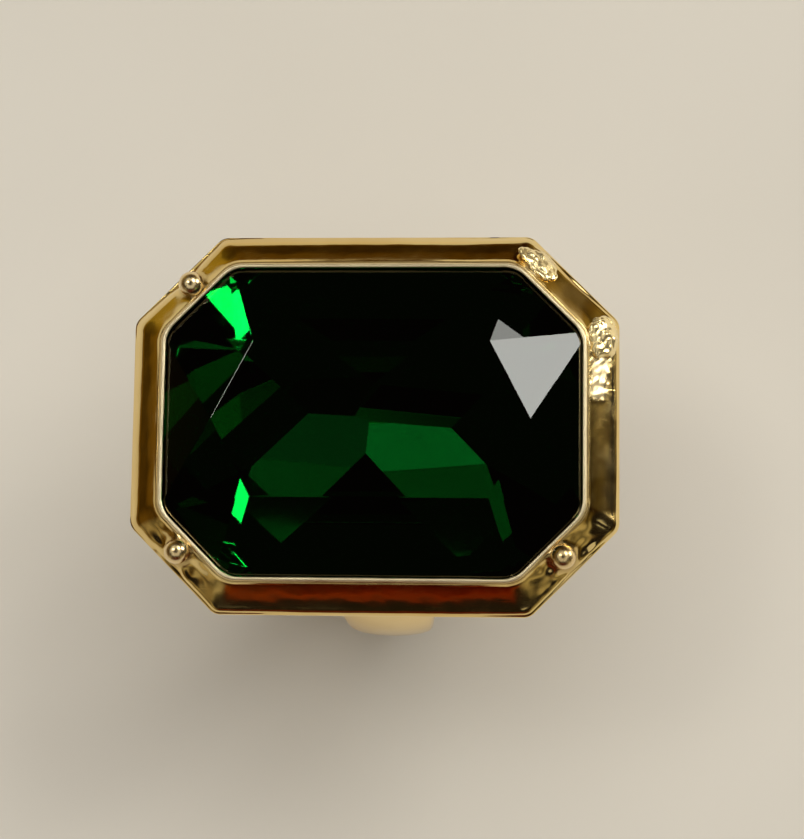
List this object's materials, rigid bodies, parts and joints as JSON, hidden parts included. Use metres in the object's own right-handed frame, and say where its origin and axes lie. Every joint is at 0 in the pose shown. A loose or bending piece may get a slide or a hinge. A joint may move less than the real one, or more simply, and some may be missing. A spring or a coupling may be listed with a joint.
{
  "type": "cocktail ring",
  "caption": "Cocktail ring: an octagonal faceted green stone in a sloped gold-tone collar with small corner beads, on a cup, shoulders and a plain finger band.",
  "frame": {"origin": "centre of the finger hole", "axes": "+X along the stone's long side, which is also the finger's direction; +Y across the stone; +Z out of the stone's table"},
  "size_m": [0.023, 0.019, 0.0248],
  "materials": {
    "green_glass": "faceted and polished",
    "mirror_foil": "mirror coat",
    "cement": "set clear cement",
    "plain_gold": "plain satin gold tone",
    "polished_gold": "hand-polished gold tone",
    "worn_solder": "rough, worn solder"
  },
  "bodies": {
    "root": {"faceted_stone": "green_glass", "foil_backing": "mirror_foil", "cement_bed": "cement", "stone_cup": "plain_gold", "base_plate": "plain_gold", "collar_frame": "polished_gold", "bead_top_left": "polished_gold", "bead_bottom_left": "polished_gold", "bead_bottom_right": "polished_gold", "solder_patch_top": "worn_solder", "solder_patch_right": "worn_solder", "shoulder_back": "polished_gold", "shoulder_front": "polished_gold", "shank_band": "polished_gold"}
  },
  "joints": []
}
